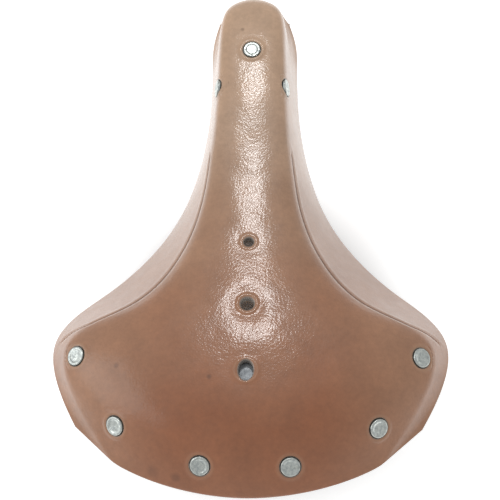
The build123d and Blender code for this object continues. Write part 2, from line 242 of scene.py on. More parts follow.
    def _painted_sheen_and_shade(self, tree: bpy.types.NodeTree, colour: bpy.types.NodeSocket,
                       zone: dict[Zone, bpy.types.NodeSocket]) -> tuple[bpy.types.NodeSocket, bpy.types.NodeSocket]:
        """The skirt's paler pinkish grey, a painted reflection of the bright surroundings at a grazing angle; the thin
        dark line pressed into it, which is the painted shade of its groove; and a painted highlight on the raised lips.
        """
        # painted reflection: the skirts are mixed 40 % of the way to the paler pinkish grey
        skirt = add_node(tree, "ShaderNodeMath", {"operation": "MULTIPLY"}, {0: zone[Zone.SKIRT], 1: 0.40})
        colour = mix_colour(tree, skirt.outputs[0], colour, srgb(self.skirt))
        # painted shade: along the pressed crease the colour goes up to 62 % of the way to the dark colour, for the
        # shade in its groove
        line = add_node(tree, "ShaderNodeMapRange", {"interpolation_type": "SMOOTHSTEP"},
                        {0: zone[Zone.CREASE], 1: 0.85, 2: 0.10}).outputs[0]
        shade = add_node(tree, "ShaderNodeMath", {"operation": "MULTIPLY"}, {0: line, 1: 0.62})
        colour = mix_colour(tree, shade.outputs[0], colour, srgb(self.dark))
        # painted highlight: the raised lips round the holes and rivets are mixed 14 % of the way to a pale tan
        lip = add_node(tree, "ShaderNodeMath", {"operation": "MULTIPLY"}, {0: zone[Zone.LIP], 1: 0.14})
        return mix_colour(tree, lip.outputs[0], colour, srgb("#C7A98C")), line

    def _marks(self, tree: bpy.types.NodeTree, where: bpy.types.NodeSocket,
               colour: bpy.types.NodeSocket) -> bpy.types.NodeSocket:
        """Small dark spots and rim stains that years of use have left."""
        marks = (((-60.8, -66.4, 55.8), 1.5, 0.42), ((-16.7, -72.6, 61.1), 1.3, 0.45), ((-42.5, -113.5, 45.1), 3.4, 0.30),
                 ((-31.6, -116.1, 46.8), 2.6, 0.38), ((-5.2, 119.8, 57.8), 1.2, 0.45))
        for spot, size, depth in marks:
            gap = add_node(tree, "ShaderNodeVectorMath", {"operation": "DISTANCE"},
                           {0: where, 1: tuple(c * MM for c in spot)})
            near = add_node(tree, "ShaderNodeMapRange", {"interpolation_type": "SMOOTHSTEP"},
                            {0: gap.outputs["Value"], 1: size * MM * 1.3, 2: size * MM * 0.3, 3: 0.0, 4: depth})
            colour = mix_colour(tree, near.outputs[0], colour, srgb(self.dark))
        return colour

    def _mottle(self, tree: bpy.types.NodeTree, where: bpy.types.NodeSocket, size_mm: float,
                light: tuple, dark: tuple) -> bpy.types.NodeSocket:
        """Two colours mixed by noise of a size in millimetres."""
        noise = add_node(tree, "ShaderNodeTexNoise",
                         inputs={"Vector": where, "Scale": 1 / (size_mm * MM), "Detail": 4.0, "Roughness": 0.65})
        share = add_node(tree, "ShaderNodeMapRange", inputs={0: noise.outputs["Fac"], 1: 0.35, 2: 0.68})
        return mix_colour(tree, share.outputs[0], light, dark)

    def _roughness(self, tree: bpy.types.NodeTree, where: bpy.types.NodeSocket,
                   zone: dict[Zone, bpy.types.NodeSocket]) -> bpy.types.NodeSocket:
        """Shinier where rubbed, duller on the edge and dullest on the flesh side."""
        noise = add_node(tree, "ShaderNodeTexNoise",
                         inputs={"Vector": where, "Scale": 1 / (9 * MM), "Detail": 5.0, "Roughness": 0.6})
        rough = add_node(tree, "ShaderNodeMapRange",
                         inputs={0: noise.outputs["Fac"], 1: 0.3, 2: 0.7, 3: self.roughness - 0.07,
                                 4: self.roughness + 0.08})
        edge = add_node(tree, "ShaderNodeMix", inputs={0: zone[Zone.CUT_EDGE], 2: rough.outputs[0], 3: 0.5})
        return add_node(tree, "ShaderNodeMix", inputs={0: zone[Zone.FLESH], 2: edge.outputs[0], 3: 0.92}).outputs[0]

    def _relief(self, tree: bpy.types.NodeTree, where: bpy.types.NodeSocket, zone: dict[Zone, bpy.types.NodeSocket],
                line: bpy.types.NodeSocket) -> bpy.types.NodeSocket:
        """Pores, fine wrinkles, slow waves of the moulded hide, and the groove of the crease."""
        wave = add_node(tree, "ShaderNodeTexNoise",
                        inputs={"Vector": where, "Scale": 1 / (13 * MM), "Detail": 2.0, "Roughness": 0.5})
        normal = bump(tree, wave.outputs["Fac"], 0.40 * MM, 0.5)
        wrinkle = add_node(tree, "ShaderNodeTexNoise",
                           inputs={"Vector": where, "Scale": 1 / (self.wrinkle_mm * MM), "Detail": 4.0,
                                   "Roughness": 0.6, "Distortion": 0.4})
        normal = bump(tree, wrinkle.outputs["Fac"], 0.10 * MM, 0.6, normal)
        pore = add_node(tree, "ShaderNodeTexVoronoi", {"feature": "SMOOTH_F1"},
                        {"Vector": where, "Scale": 1 / (self.pore_mm * MM), "Smoothness": 0.4, "Randomness": 1.0})
        normal = bump(tree, pore.outputs["Distance"], 0.055 * MM, 0.7, normal)
        grain = add_node(tree, "ShaderNodeTexNoise",
                         inputs={"Vector": where, "Scale": 1 / (0.8 * MM), "Detail": 3.0, "Roughness": 0.7})
        normal = bump(tree, grain.outputs["Fac"], 0.045 * MM, 0.7, normal)
        fibre = add_node(tree, "ShaderNodeMath", {"operation": "MULTIPLY"},
                         {0: grain.outputs["Fac"], 1: zone[Zone.FLESH]})
        normal = bump(tree, fibre.outputs[0], 0.25 * MM, 0.8, normal)
        groove = add_node(tree, "ShaderNodeMath", {"operation": "SUBTRACT"}, {0: 1.0, 1: line})
        return bump(tree, groove.outputs[0], 0.28 * MM, 0.9, normal)


def mix_colour(tree: bpy.types.NodeTree, share: object, first: object, second: object) -> bpy.types.NodeSocket:
    """Mixes two colours, each a value or a socket, by a share.

    Returns:
        The colour socket of the mix.
    """
    node = add_node(tree, "ShaderNodeMix", {"data_type": "RGBA"}, {0: share, 6: first, 7: second})
    return node.outputs[2]


def bump(tree: bpy.types.NodeTree, height: bpy.types.NodeSocket, depth: float, strength: float,
         normal: bpy.types.NodeSocket | None = None) -> bpy.types.NodeSocket:
    """Adds relief of a real depth in metres on top of an earlier normal.

    Returns:
        The new normal.
    """
    inputs = {"Height": height, "Distance": depth, "Strength": strength}
    if normal is not None:
        inputs["Normal"] = normal
    return add_node(tree, "ShaderNodeBump", inputs=inputs).outputs[0]


@dataclass(frozen=True)
class Metal:
    """A bare or plated metal: its two tones, how rough it is, and the size and depth of its unevenness."""

    name: str
    light: str
    dark: str
    roughness: float
    spread: float
    patch_mm: float
    relief_mm: float
    metallic: float = 1.0
    tarnish: float = 0.0
    tarnish_colour: str = "#6F6A60"

    def build(self) -> bpy.types.Material:
        """Makes the material: blotchy tone, roughness that varies with it, and fine relief."""
        material = bpy.data.materials.new(self.name)
        material.use_nodes = True
        tree = material.node_tree
        tree.nodes.clear()
        where = add_node(tree, "ShaderNodeTexCoord").outputs["Object"]
        patch = add_node(tree, "ShaderNodeTexNoise",
                         inputs={"Vector": where, "Scale": 1 / (self.patch_mm * MM), "Detail": 5.0, "Roughness": 0.65})
        share = add_node(tree, "ShaderNodeMapRange", inputs={0: patch.outputs["Fac"], 1: 0.34, 2: 0.68})
        colour = mix_colour(tree, share.outputs[0], srgb(self.light), srgb(self.dark))
        if self.tarnish:
            stain = add_node(tree, "ShaderNodeTexNoise",
                             inputs={"Vector": where, "Scale": 1 / (self.patch_mm * 2.3 * MM), "Detail": 6.0,
                                     "Roughness": 0.7})
            spots = add_node(tree, "ShaderNodeMapRange",
                             inputs={0: stain.outputs["Fac"], 1: 0.56, 2: 0.72, 3: 0.0, 4: self.tarnish})
            colour = mix_colour(tree, spots.outputs[0], colour, srgb(self.tarnish_colour))
        rough = add_node(tree, "ShaderNodeMapRange",
                         inputs={0: patch.outputs["Fac"], 1: 0.3, 2: 0.7, 3: self.roughness - self.spread,
                                 4: self.roughness + self.spread})
        normal = bump(tree, patch.outputs["Fac"], self.relief_mm * MM, 0.8)
        shader = add_node(tree, "ShaderNodeBsdfPrincipled", inputs={
            "Base Color": colour, "Roughness": rough.outputs[0], "Metallic": self.metallic, "Normal": normal})
        add_node(tree, "ShaderNodeOutputMaterial", inputs={"Surface": shader.outputs[0]})
        return material


# Nickel-plated steel, hammered when it was set and dulled since: pale grey-green with a bluish mottle.
RIVET_STEEL = Metal("hammered_nickel_plated_steel", "#DDE2DC", "#A9B0B0", 0.34, 0.10, 1.3, 0.10, tarnish=0.5,
                    tarnish_colour="#8E9088")
# Mild steel plate with dull zinc: mid grey with a soft crystalline mottle.
ZINC_PLATE = Metal("zinc_plated_mild_steel", "#9DA1A4", "#7D8185", 0.46, 0.08, 4.0, 0.05, tarnish=0.35)
# Turned free-cutting steel with bright zinc: smooth, a little streaked.
TURNED_STEEL = Metal("bright_zinc_turned_steel", "#C6C8C8", "#A2A4A5", 0.28, 0.06, 2.5, 0.03, tarnish=0.25)
# Baked black enamel on steel: near black, satin, with faint orange peel.
BLACK_ENAMEL = Metal("baked_black_enamel", "#17181A", "#0F1011", 0.34, 0.05, 2.0, 0.04, metallic=0.0)


# ---------------------------------------------------------------------------------------------- the hide's form


@dataclass(frozen=True)
class HideForm:
    """The moulded hide's outer face: a clamped uniform B-spline over guide stations, nose to rear rim."""

    length: float = 275 * MM
    origin_share: float = 0.538
    wing: float = 102 * MM
    nose: float = 26 * MM
    deck: float = 57 * MM
    thickness: float = 5 * MM
    degree: int = 3
    crown_share: float = 0.62
    crown_drop: float = 0.15
    low_share: float = 0.15
    skirt_share: float = 0.55
    # middle: place, drop in mm; shoulder: half width, place, drop; lower edge: half width, place, drop
    stations: tuple[tuple[float, ...], ...] = (
        (0.00, 20, 0.60, 0.00, 21, 0.78, 0.02, 26),
        (0.00, 14, 0.40, 0.01, 14, 0.98, 0.05, 34),
        (0.00, 2, 0.60, 0.03, 3, 0.96, 0.09, 43),
        (0.08, -2, 0.68, 0.09, 0, 0.96, 0.15, 45),
        (0.22, 0, 0.68, 0.22, 2, 1.01, 0.25, 50),
        (0.36, 4, 0.74, 0.36, 6, 1.12, 0.39, 51),
        (0.50, 4, 0.90, 0.53, 7, 1.33, 0.50, 49),
        (0.64, 0, 1.29, 0.68, 5, 1.65, 0.60, 43),
        (0.80, -6, 1.83, 0.70, 9, 1.96, 0.67, 33),
        (0.94, -5, 1.88, 0.79, 13, 2.00, 0.76, 24),
        (1.00, 13, 1.45, 0.94, 18, 1.75, 0.87, 23))

    def guide(self, half: float, place: float, drop: float) -> np.ndarray:
        """One guide point, in metres."""
        across = self.nose * min(half, 1) + (self.wing - self.nose) * max(half - 1, 0)
        return np.array([across, (self.origin_share - place) * self.length, self.deck - drop * MM])

    def net(self, depth: float = 0.0) -> np.ndarray:
        """Control points, one row per station from the left edge to the right, moved inwards by depth."""
        rows = []
        for mid_place, mid_drop, *rest in self.stations:
            middle = self.guide(0, mid_place, mid_drop)
            shoulder, edge = self.guide(*rest[:3]), self.guide(*rest[3:])
            crown = middle + (shoulder - middle) * (self.crown_share, self.crown_share ** 2, self.crown_drop)
            low = shoulder + (edge - shoulder) * self.low_share
            skirt = shoulder + (edge - shoulder) * self.skirt_share
            right = [crown, shoulder, low, skirt, edge]
            rows.append([p * (-1, 1, 1) for p in right][::-1] + [middle] + right)
        net = np.array(rows)
        if not depth:
            return net
        facets = np.cross(net[1:, 1:] - net[:-1, :-1], net[:-1, 1:] - net[1:, :-1])
        facets /= np.linalg.norm(facets, axis=2, keepdims=True)
        moved = net.copy()
        for row, column in np.ndindex(net.shape[:2]):
            around = facets[max(row - 1, 0):row + 1, max(column - 1, 0):column + 1].reshape(-1, 3)
            moved[row, column] -= depth * (np.linalg.pinv(around, rcond=0.15) @ np.ones(len(around)))
        return moved

    def weights(self, count: int, places: np.ndarray) -> np.ndarray:
        """Weights of count control points at places from 0 to 1."""
        places = np.clip(np.asarray(places, float), 0, 1 - 1e-9)
        d = self.degree
        knots = np.concatenate([np.zeros(d), np.linspace(0, 1, count - d + 1), np.ones(d)])
        weights = [((places >= a) & (places < b)).astype(float) for a, b in zip(knots[:-1], knots[1:])]
        for degree in range(1, d + 1):
            for i in range(len(weights) - 1):
                rise, fall = knots[i + degree] - knots[i], knots[i + degree + 1] - knots[i + 1]
                left = (places - knots[i]) / rise * weights[i] if rise > 0 else 0
                right = (knots[i + degree + 1] - places) / fall * weights[i + 1] if fall > 0 else 0
                weights[i] = left + right
            weights.pop()
        return np.array(weights)

    def points(self, along: np.ndarray, across: np.ndarray, depth: float = 0.0) -> np.ndarray:
        """Points at matching places along and across, with any shape of arrays.

        Returns:
            Places in metres, with a last axis of three.
        """
        net = self.net(depth)
        shape = np.shape(along)
        by_row = self.weights(net.shape[0], np.ravel(along))
        by_column = self.weights(net.shape[1], np.ravel(across))
        return np.einsum("in,jn,ijk->nk", by_row, by_column, net).reshape(*shape, 3)

    def slopes(self, along: np.ndarray, across: np.ndarray, depth: float = 0.0) -> tuple[np.ndarray, np.ndarray]:
        """How the point moves per unit along and per unit across."""
        step = 1e-4
        a, b = np.clip(along, step, 1 - step), np.clip(across, step, 1 - step)
        ahead = (self.points(a + step, b, depth) - self.points(a - step, b, depth)) / (2 * step)
        aside = (self.points(a, b + step, depth) - self.points(a, b - step, depth)) / (2 * step)
        return ahead, aside

    def normals(self, along: np.ndarray, across: np.ndarray) -> np.ndarray:
        """Outward unit normals of the outer face."""
        ahead, aside = self.slopes(along, across)
        normal = np.cross(aside, -ahead)
        return normal / np.linalg.norm(normal, axis=-1, keepdims=True)

    def frame_at(self, along: float, across: float) -> tuple[np.ndarray, np.ndarray, np.ndarray, np.ndarray]:
        """Origin, right, ahead and outward directions of the plane that touches the hide there."""
        origin = self.points(np.array(along), np.array(across))
        ahead, right = self.slopes(np.array(along), np.array(across))
        right = right / np.linalg.norm(right)
        out = np.cross(right, -ahead)
        out /= np.linalg.norm(out)
        return origin, right, np.cross(out, right), out

    def settle(self, along: float, across: float, flat: np.ndarray, depth: float = 0.0) -> np.ndarray:
        """Finds the places on the hide that lie over given spots of its touching plane.

        Args:
            along: where the plane touches.
            across: where the plane touches.
            flat: spots in the plane, right and ahead, in metres.
            depth: how far under the outer face the sought points lie.
        Returns:
            Places along and across, one row per spot.
        """
        origin, right, ahead, _ = self.frame_at(along, across)
        place = np.tile([along, across], (len(flat), 1)).astype(float)
        for _ in range(6):
            here = self.points(place[:, 0], place[:, 1], depth) - origin
            miss = flat - np.stack([here @ right, here @ ahead], 1)
            da, db = self.slopes(place[:, 0], place[:, 1], depth)
            jacobian = np.stack([np.stack([da @ right, db @ right], 1), np.stack([da @ ahead, db @ ahead], 1)], 1)
            place = np.clip(place + np.linalg.solve(jacobian, miss[..., None])[..., 0], 0, 1)
        return place


# ---------------------------------------------------------------------------------------------- the leather


@dataclass(frozen=True)
class Opening:
    """A round or oval hole through the hide, or the seat of a rivet.

    Sizes are in millimetres. The dish is how far the leather sinks round it and the lip how far it is raised.
    """

    along: float
    across: float
    half_width: float
    half_length: float
    lip_radius: float = 0.6
    step_depth: float = 0.0
    bore: float = 0.0
    dish: float = 0.0
    dish_reach: float = 9.0
    lip: float = 0.0
    lip_place: float = 1.6


@dataclass
class LeatherTop:
    """The hide, as one closed mesh: grain side, cut edge, flesh side, three holes and nine rivet seats."""

    form: HideForm = field(default_factory=HideForm)
    rows: int = 168
    columns: int = 224
    edge_loops: int = 5
    edge_round: float = 1.3
    edge_bulge: float = 0.45
    crease_across: float = 0.165
    hole_shares: tuple[tuple[float, float, float], ...] = ((0.55, 4.7, 4.7), (0.67, 6.4, 6.4), (0.79, 6.8, 9.4))
    rivet_places: tuple[tuple[float, float], ...] = (
        (0.31, 0.5), (0.37, 0.18), (0.37, 0.82), (0.908, 0.25), (0.965, 0.325), (0.975, 0.445),
        (0.908, 0.75), (0.965, 0.675), (0.975, 0.555))
    seat_radius: float = 4.85
    seat_depth: float = 1.25
    bore_radius: float = 2.35

    def openings(self) -> list[Opening]:
        """Every hole and rivet seat, with the dishing and the raised lip that each one has."""
        found = []
        dishes = ((0.20, 7.0), (0.55, 8.5), (0.30, 10.0))
        for (share, width, length), (dish, reach) in zip(self.hole_shares, dishes):
            y = (self.form.origin_share - share) * self.form.length
            along = self._along_for(y)
            found.append(Opening(along, 0.5, width / 2, length / 2, 0.8, dish=dish, dish_reach=reach,
                                 lip=0.12, lip_place=1.5))
        for number, (along, across) in enumerate(self.rivet_places):
            found.append(Opening(along, across, self.seat_radius, self.seat_radius, 0.45, self.seat_depth,
                                 self.bore_radius, dish=0.16, dish_reach=8.0, lip=0.30 if number == 0 else 0.14,
                                 lip_place=1.2))
        return found

    def _along_for(self, y: float) -> float:
        """Place along the centreline whose point has that place on the long axis."""
        along = np.linspace(0.2, 1, 4001)
        line = self.form.points(along, np.full_like(along, 0.5))[:, 1]
        return float(along[np.abs(line - y).argmin()])

    def even_places(self, count: int, sideways: bool) -> np.ndarray:
        """Places that are about evenly far apart on the hide, with three close lines at each edge."""
        fine = np.linspace(0, 1, 1201)
        total = np.zeros_like(fine)
        for other in (0.12, 0.3, 0.5, 0.7, 0.88):
            still = np.full_like(fine, 0.45 + 0.5 * other if sideways else other)
            line = self.form.points(still, fine) if sideways else self.form.points(fine, still)
            steps = np.linalg.norm(np.diff(line, axis=0), axis=1)
            total += np.concatenate([[0], np.cumsum(steps)])
        share = total / total[-1]
        places = np.interp(np.linspace(0, 1, count), share, fine)
        run = total[-1] / 5
        near = np.interp([g * MM / run for g in (0.35, 0.8, 1.3)], share, fine)
        far = np.interp([1 - g * MM / run for g in (1.3, 0.8, 0.35)], share, fine)
        middle = places[(places > near[-1] * 1.25) & (places < far[0] - (1 - far[0]) * 0.25)]
        return np.concatenate([[0], near, middle, far, [1]])

    def crease_gap(self, along: np.ndarray, across: np.ndarray) -> np.ndarray:
        """Distance in mm from the pressed line below the shoulder, large where there is no line."""
        line = np.interp(along, [0.0, 0.80, 0.84, 0.87, 0.90, 0.93], [0.165, 0.165, 0.160, 0.10, 0.05, -0.05])
        _, aside = self.form.slopes(along, across)
        speed = np.linalg.norm(aside, axis=-1) / MM
        side = np.minimum(across, 1 - across)
        fade = 8 * (1 - smooth(0.44, 0.50, along)) + 8 * smooth(0.895, 0.93, along)
        return np.minimum(np.abs(side - line) * speed + fade, 20.0)

    def rise(self, spot: np.ndarray, along: np.ndarray, across: np.ndarray, seats: list[Opening]) -> np.ndarray:
        """How far the finished leather stands out from its smooth form, in metres."""
        x, y = spot[..., 0] / MM, spot[..., 1] / MM
        out = 0.10 * np.sin(x / 9.3 + 1.3 * np.sin(y / 17.0) + 0.7) * np.sin(y / 11.7 + 0.4)
        out += 0.05 * np.sin(x / 4.1 + 2.0) * np.sin(y / 5.3 + 1.1 * np.sin(x / 13.0))
        gap = self.crease_gap(along, across)
        out -= 0.42 * np.exp(-(gap / 1.15) ** 2)
        out += 0.16 * np.exp(-((gap - 2.6) / 1.6) ** 2)
        for seat in seats:
            centre = self.form.points(np.array(seat.along), np.array(seat.across))
            far = np.linalg.norm(spot - centre, axis=-1) / MM
            size = (seat.half_width + seat.half_length) / 2
            out -= seat.dish * np.exp(-(np.maximum(far - size, 0) / (seat.dish_reach * 0.6)) ** 2)
            out += (seat.dish * 0.6 + seat.lip) * np.exp(-((far - size - seat.lip_place) / 0.95) ** 2)
        return out * MM

    def build(self, material: bpy.types.Material) -> bpy.types.Object:
        """Makes the whole hide.

        Args:
            material: the leather.
        Returns:
            The finished object, at the origin.
        """
        seats = self.openings()
        along, across = self.even_places(self.rows, False), self.even_places(self.columns, True)
        a, b = np.meshgrid(along, across, indexing="ij")
        outer, inner = self._skins(a, b, seats)
        maker = ShellMaker()
        grain = maker.add(outer, a, b, 0)
        flesh = maker.add(inner, a, b, 1)
        grid_g, grid_f = grain.reshape(a.shape), flesh.reshape(a.shape)
        blocks = [self._block(seat, along, across) for seat in seats]
        open_cells = np.ones((len(along) - 1, len(across) - 1), bool)
        for i0, i1, j0, j1 in blocks:
            open_cells[i0:i1, j0:j1] = False
        for i, j in np.argwhere(open_cells):
            maker.quad(grid_g[i, j], grid_g[i, j + 1], grid_g[i + 1, j + 1], grid_g[i + 1, j])
            maker.quad(grid_f[i, j], grid_f[i + 1, j], grid_f[i + 1, j + 1], grid_f[i, j + 1])
        for seat, block in zip(seats, blocks):
            self._ring_in(maker, seat, block, seats, along, across, grid_g, grid_f)
        self._edge(maker, outer, inner, a, b, grid_g, grid_f)
        return self._finish(maker, material)

    def _skins(self, a: np.ndarray, b: np.ndarray, seats: list[Opening]) -> tuple[np.ndarray, np.ndarray]:
        """Outer and inner points of the grid, both rounded off towards the cut edge."""
        base, back = self.form.points(a, b), self.form.points(a, b, self.form.thickness)
        normal = self.form.normals(a, b)
        to_edge = np.minimum.reduce([
            np.linalg.norm(base - base[:1], axis=-1), np.linalg.norm(base - base[-1:], axis=-1),
            np.linalg.norm(base - base[:, :1], axis=-1), np.linalg.norm(base - base[:, -1:], axis=-1)]) / MM
        r = self.edge_round
        fall = (r - np.sqrt(np.maximum(r * r - np.maximum(r - to_edge, 0) ** 2, 0)))[..., None] * MM
        lift = self.rise(base, a, b, seats)[..., None] * smooth(0.0, 3.0, to_edge)[..., None]
        self._fall = fall
        return base + normal * (lift - fall), back + normal * fall * 0.8

    def _block(self, seat: Opening, along: np.ndarray, across: np.ndarray) -> tuple[int, int, int, int]:
        """Grid lines of the block of cells that the opening's rings take the place of."""
        ahead, aside = self.form.slopes(np.array(seat.along), np.array(seat.across))
        square = np.linalg.norm(np.cross(ahead, aside)) / np.linalg.norm(ahead) / np.linalg.norm(aside)
        reach = (max(seat.half_width, seat.half_length) + seat.lip_place + 2.0) * MM / square
        da, db = reach / np.linalg.norm(ahead), reach / np.linalg.norm(aside)
        i0 = int(np.searchsorted(along, seat.along - da)) - 1
        i1 = int(np.searchsorted(along, seat.along + da))
        j0 = int(np.searchsorted(across, seat.across - db)) - 1
        j1 = int(np.searchsorted(across, seat.across + db))
        return i0, i1, j0, j1

    def _ring_in(self, maker: "ShellMaker", seat: Opening, block: tuple[int, int, int, int], seats: list[Opening],
                 along: np.ndarray, across: np.ndarray, grid_g: np.ndarray, grid_f: np.ndarray) -> None:
        """Fills a block with rings round the opening, down its wall and out over the flesh side."""
        i0, i1, j0, j1 = block
        loop = [(i0, j) for j in range(j0, j1)] + [(i, j1) for i in range(i0, i1)]
        loop += [(i1, j) for j in range(j1, j0, -1)] + [(i, j0) for i in range(i1, i0, -1)]
        corner = np.array([(along[i], across[j]) for i, j in loop])
        origin, right, ahead, out = self.form.frame_at(seat.along, seat.across)
        flat = self.form.points(corner[:, 0], corner[:, 1]) - origin
        flat = np.stack([flat @ right, flat @ ahead], 1)
        turn = np.arctan2(flat[:, 1], flat[:, 0])
        unit = np.stack([np.cos(turn), np.sin(turn)], 1)

        def oval(grow: float) -> np.ndarray:
            """Spots round the opening, grown outwards by some millimetres."""
            return unit * (np.array([seat.half_width, seat.half_length]) + grow) * MM

        previous = np.array([grid_g[i, j] for i, j in loop])
        lip = seat.lip_radius
        reach = seat.lip_place + 1.3
        rim = oval(reach)
        for share in (0.35, 0.7, 1.0):
            previous = self._surface_ring(maker, seat, flat + (rim - flat) * share, seats, previous, 0)
        for grow in np.linspace(reach, lip, 7)[1:]:
            previous = self._surface_ring(maker, seat, oval(grow), seats, previous, 0)
        for angle in np.linspace(0, math.pi / 2, 5)[1:]:
            previous = self._surface_ring(maker, seat, oval(lip * (1 - math.sin(angle))), seats, previous, 0,
                                          lip * (1 - math.cos(angle)), out, edge=0.35 + 0.65 * math.sin(angle))
        wall = oval(0.0)
        if seat.step_depth:
            for depth in (seat.step_depth * 0.75, seat.step_depth):
                previous = self._surface_ring(maker, seat, wall, seats, previous, 0, depth, out, edge=1.0)
            wall = unit * seat.bore * MM
            for size in (seat.half_width - 0.15, (seat.half_width + seat.bore) / 2, seat.bore):
                previous = self._surface_ring(maker, seat, unit * size * MM, seats, previous, 0, seat.step_depth, out,
                                              edge=1.0)
        for depth in (2.0, 3.2):
            previous = self._surface_ring(maker, seat, wall, seats, previous, 0, depth, out, edge=1.0)
        rim_in = np.linalg.norm(wall, axis=1, keepdims=True)
        spots = [wall, wall * (1 + 0.6 * MM / rim_in), wall * (1 + 1.6 * MM / rim_in)]
        spots += [wall + (flat - wall) * share for share in (0.4, 0.7)]
        for number, spot in enumerate(spots):
            place = self.form.settle(seat.along, seat.across, spot, self.form.thickness)
            points = self.form.points(place[:, 0], place[:, 1], self.form.thickness)
            ring = maker.add(points, place[:, 0], place[:, 1], 1, edge=1.0 if number == 0 else 0.0)
            maker.band(previous, ring)
            previous = ring
        maker.band(previous, np.array([grid_f[i, j] for i, j in loop]))

    def _surface_ring(self, maker: "ShellMaker", seat: Opening, spots: np.ndarray, seats: list[Opening],
                      previous: np.ndarray, side: int, depth: float = 0.0, out: np.ndarray | None = None,
                      edge: float = 0.0) -> np.ndarray:
        """Adds one ring that follows the grain side, sunk by some millimetres, and joins it to the last one."""
        place = self.form.settle(seat.along, seat.across, spots)
        base = self.form.points(place[:, 0], place[:, 1])
        points = base + self.form.normals(place[:, 0], place[:, 1]) * self.rise(base, place[:, 0], place[:, 1],
                                                                               seats)[:, None]
        if depth:
            points = points - out * depth * MM
        # the lip share, which says where the painted highlight on the raised lip goes
        lip = np.full(len(points), 0.0)
        if not depth:
            origin = self.form.points(np.array(seat.along), np.array(seat.across))
            far = np.linalg.norm(base - origin, axis=1) / MM - (seat.half_width + seat.half_length) / 2
            lip = np.exp(-((far - seat.lip_place * 0.8) / 0.8) ** 2)
        ring = maker.add(points, place[:, 0], place[:, 1], side, edge=edge, lip=lip)
        maker.band(previous, ring)
        return ring

    def _edge(self, maker: "ShellMaker", outer: np.ndarray, inner: np.ndarray, a: np.ndarray, b: np.ndarray,
              grid_g: np.ndarray, grid_f: np.ndarray) -> None:
        """Closes the cut edge between the grain side and the flesh side with a soft round."""
        last_i, last_j = a.shape[0] - 1, a.shape[1] - 1
        loop = [(0, j) for j in range(last_j)] + [(i, last_j) for i in range(last_i)]
        loop += [(last_i, j) for j in range(last_j, 0, -1)] + [(i, 0) for i in range(last_i, 0, -1)]
        index = np.array(loop)
        inside = np.clip(index, 3, [last_i - 3, last_j - 3])
        tip = outer[index[:, 0], index[:, 1]]
        under = inner[index[:, 0], index[:, 1]]
        away = tip - outer[inside[:, 0], inside[:, 1]]
        away /= np.linalg.norm(away, axis=1, keepdims=True)
        previous = grid_g[index[:, 0], index[:, 1]]
        for share in np.linspace(0, 1, self.edge_loops + 2)[1:-1]:
            bulge = self.edge_bulge * MM * math.sin(math.pi * share) ** 0.7
            points = tip + (under - tip) * share + away * bulge
            ring = maker.add(points, a[index[:, 0], index[:, 1]], b[index[:, 0], index[:, 1]], 0, edge=1.0)
            maker.band(previous, ring, flip=True)
            previous = ring
        maker.band(previous, grid_f[index[:, 0], index[:, 1]], flip=True)
        maker.mark_edge(grid_g[index[:, 0], index[:, 1]], 0.9)
        maker.mark_edge(grid_f[index[:, 0], index[:, 1]], 0.9)

    def _finish(self, maker: "ShellMaker", material: bpy.types.Material) -> bpy.types.Object:
        """Turns the collected rings into a mesh with its zones, its UV map and its material."""
        mesh = maker.mesh("leather_hide")
        along, across = maker.place[:, 0], maker.place[:, 1]
        gap = self.crease_gap(along, across)
        side = np.minimum(across, 1 - across)
        zones = {Zone.CUT_EDGE: maker.edge, Zone.FLESH: maker.side, Zone.CREASE: gap, Zone.LIP: maker.lip,
                 Zone.SKIRT: smooth(0.27, 0.19, side) * (1 - smooth(0.80, 0.92, along))}
        for zone, values in zones.items():
            layer = mesh.attributes.new(zone.value, "FLOAT", "POINT")
            layer.data.foreach_set("value", np.ascontiguousarray(values, np.float32))
        mesh.materials.append(material)
        mesh.shade_smooth()
        return link_mesh("leather_hide", mesh)


